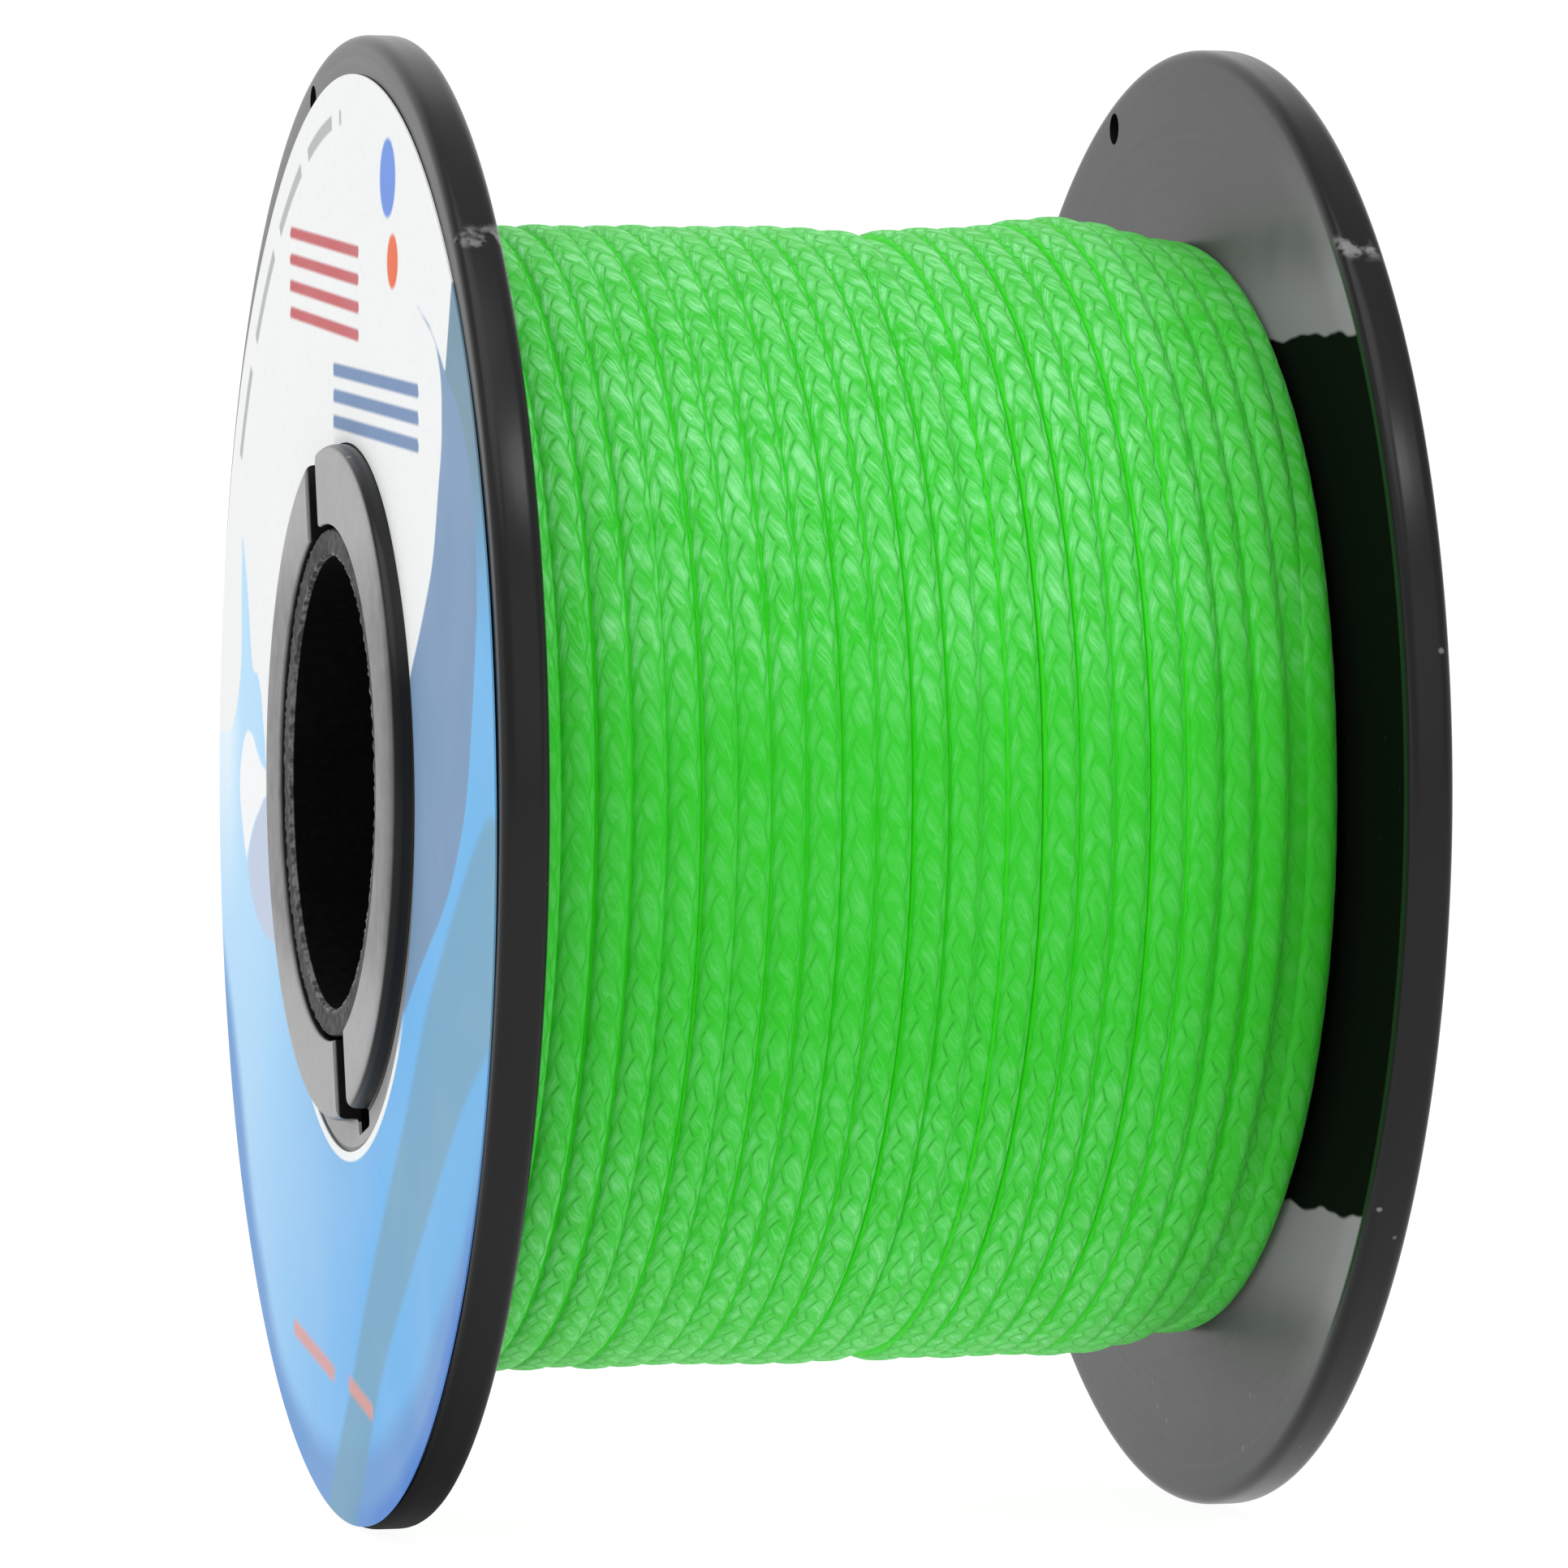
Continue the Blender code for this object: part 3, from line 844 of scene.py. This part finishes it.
film_points = np.concatenate([front.reshape(-1, 3), back.reshape(-1, 3)])
faces = []
for k in range(label_steps):
    n = (k + 1) % label_steps
    for m in range(label_rings):
        p, s = k * across_count + m, n * across_count + m
        q, r = p + 1, s + 1
        faces.append((p, q, r, s))
        faces.append((count + s, count + r, count + q, count + p))
    p, s = k * across_count, n * across_count
    faces.append((p, s, count + s, count + p))
    q, r = k * across_count + label_rings, n * across_count + label_rings
    faces.append((r, q, count + q, count + r))
film_mesh = bpy.data.meshes.new("label_film")
film_mesh.from_pydata(film_points.tolist(), [], faces)
film_mesh.update()
made = bmesh.new()
made.from_mesh(film_mesh)
bmesh.ops.recalc_face_normals(made, faces=made.faces)
made.to_mesh(film_mesh)
made.free()
smooth_by_angle(film_mesh, 50)
flat_place = np.stack([-film_points[:, 1], film_points[:, 2]], 1) / FLANGE_RADIUS
for name, shape in [
    ("white", WHITE), ("dusk", DUSK), ("tear", TEAR), ("patch", PATCH), ("band", BAND),
    ("lower_field", LOWER_FIELD), ("blue_spot", BLUE_SPOT), ("orange_spot", ORANGE_SPOT),
    ("red_rules", RED_RULES), ("blue_rules", BLUE_RULES), ("orange_rules", ORANGE_RULES),
]:
    if name.endswith("rules"):
        rules = [np.array([(a, c), (b, d), (b, d - h), (a, c - h)]) for a, b, c, d, h in shape]
        depth = np.max([depth_in(rule, flat_place) for rule in rules], axis=0)
    else:
        depth = depth_in(through(shape), flat_place)
    field = film_mesh.attributes.new(name, "FLOAT", "POINT")
    field.data.foreach_set("value", depth.astype(np.float32))
film = bpy.data.objects.new("label_film", film_mesh)
bpy.context.scene.collection.objects.link(film)

printed, start = new_material("printed_film")
spot = start.node("ShaderNodeTexCoord", None, None, 3)
_, y, z = spot.parts()
u = y / -FLANGE_RADIUS
v = z / FLANGE_RADIUS


def printed_field(name, soft=0.004):
    """1 inside a printed field and 0 outside it."""
    depth = start.node("ShaderNodeAttribute", {"attribute_name": name}, None, 2)
    return depth.step(-soft, soft)


cloud = start.node("ShaderNodeTexNoise", None, {"Vector": spot, "Scale": 60.0, "Detail": 4.0})
speckle = start.node("ShaderNodeTexNoise", None, {"Vector": spot, "Scale": 1500.0, "Detail": 2.0})
to_right = u.step(-0.85, 0.25)
sky = to_right.between(rgb(184, 222, 248), rgb(112, 182, 236))
sky = ((u - v * 0.5).step(0.5, 1.1)).between(sky, rgb(106, 178, 228))
sky = ((v * -1.0).step(-0.1, 0.9) * 0.35).between(sky, rgb(100, 168, 226))
sky = (v.step(0.15, 0.45) * u.step(0.4, 0.6)).between(sky, rgb(110, 143, 162))
sky = (v.step(-0.25, 0.08) * (1.0 - u.step(-0.9, -0.78)) * 0.8).between(sky, rgb(232, 242, 248))
paint = printed_field("lower_field", 0.03).between(rgb(104, 152, 208), sky)
paint = (printed_field("band", 0.012) * (cloud * 0.4 + 0.6)).between(paint, rgb(112, 158, 182))
paint = printed_field("dusk").between(paint, cloud.between(rgb(118, 151, 178), rgb(117, 145, 187)))
paint = printed_field("patch", 0.006).between(paint, rgb(190, 201, 222))
paint = printed_field("tear").between(paint, rgb(240, 242, 243))
paint = printed_field("white").between(paint, rgb(238, 239, 239))
paint = printed_field("blue_spot").between(paint, rgb(96, 138, 222))
paint = printed_field("orange_spot").between(paint, rgb(232, 100, 44))
paint = printed_field("red_rules", 0.003).between(paint, rgb(196, 96, 100))
paint = printed_field("blue_rules", 0.003).between(paint, rgb(110, 138, 178))
paint = (printed_field("orange_rules", 0.006) * 0.8).between(paint, rgb(226, 150, 130))
round_hole = u.math("ARCTAN2", v)
above_hole = v + LABEL_DROP / FLANGE_RADIUS
from_hole = (u * u + above_hole * above_hole).math("SQRT")
dashes = (round_hole * 24.0).math("SINE") > -0.75
arc = from_hole.step(0.905, 0.91) * (1.0 - from_hole.step(0.925, 0.93)) * dashes
arc = arc * (round_hole > -1.05) * (round_hole < -0.02)
paint = (arc * 0.6).between(paint, rgb(120, 122, 126))
border = (1.0 - from_hole.step(0.483, 0.487)) * (1.0 - v.step(-0.36, -0.28))
paint = border.between(paint, rgb(244, 246, 246))
edge_blue = from_hole.step(0.93, 0.968) * 0.75 * u.step(0.0, 0.3) * (1.0 - v.step(-0.75, -0.4))
paint = edge_blue.between(paint, rgb(52, 116, 204))
paint = (cloud.step(0.3, 0.75) * 0.10).between(paint, rgb(222, 230, 236))
paint = (speckle.step(0.55, 0.75) * 0.06).between(paint, rgb(120, 130, 150))
bumps = start.node("ShaderNodeBump", None, {
    "Strength": 0.15,
    "Distance": 0.00005,
    "Height": cloud + speckle * 0.2,
})
finish_material(start, start.node("ShaderNodeBsdfPrincipled", None, {
    "Base Color": paint,
    "Roughness": 0.5 + 0.15 * cloud,
    "Specular IOR Level": 0.08,
    "Normal": bumps,
}))
film_mesh.materials.append(printed)
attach(film, "root")
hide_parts("front_label")

# ---- The drum and the tape ---------------------------------------------------------------
# The barrel under the line is a plain moulded tube pushed onto both collars. A strip of
# paper tape holds the line's first end on it. Both are covered by the line.
plain, start = new_material("drum_moulding")
spot = start.node("ShaderNodeTexCoord", None, None, 3)
cloud = start.node("ShaderNodeTexNoise", None, {"Vector": spot, "Scale": 80.0, "Detail": 4.0})
grain = start.node("ShaderNodeTexNoise", None, {"Vector": spot, "Scale": 1200.0, "Detail": 2.0})
bumps = start.node("ShaderNodeBump", None, {"Strength": 0.3, "Distance": 0.00005, "Height": grain})
finish_material(start, start.node("ShaderNodeBsdfPrincipled", None, {
    "Base Color": cloud.between((0.03, 0.03, 0.032), (0.06, 0.06, 0.062)),
    "Roughness": 0.4 + 0.2 * cloud,
    "Normal": bumps,
}))
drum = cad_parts["drum"]
drum.data.materials.clear()
drum.data.materials.append(plain)

paper, start = new_material("paper_tape")
spot = start.node("ShaderNodeTexCoord", None, None, 3)
crepe_place = start.node("ShaderNodeMapping", None, {0: spot, 3: (1.0, 6.0, 6.0)})
crepe = start.node("ShaderNodeTexNoise", None, {"Vector": crepe_place, "Scale": 500.0, "Detail": 3.0})
stain = start.node("ShaderNodeTexNoise", None, {"Vector": spot, "Scale": 150.0, "Detail": 3.0})
bumps = start.node("ShaderNodeBump", None, {"Strength": 0.5, "Distance": 0.00005, "Height": crepe})
finish_material(start, start.node("ShaderNodeBsdfPrincipled", None, {
    "Base Color": (stain * 0.6 + crepe * 0.4).between((0.55, 0.46, 0.30), (0.80, 0.72, 0.52)),
    "Roughness": 0.75 + 0.15 * crepe,
    "Normal": bumps,
}))
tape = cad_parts["line_start_tape"]
tape.data.materials.clear()
tape.data.materials.append(paper)
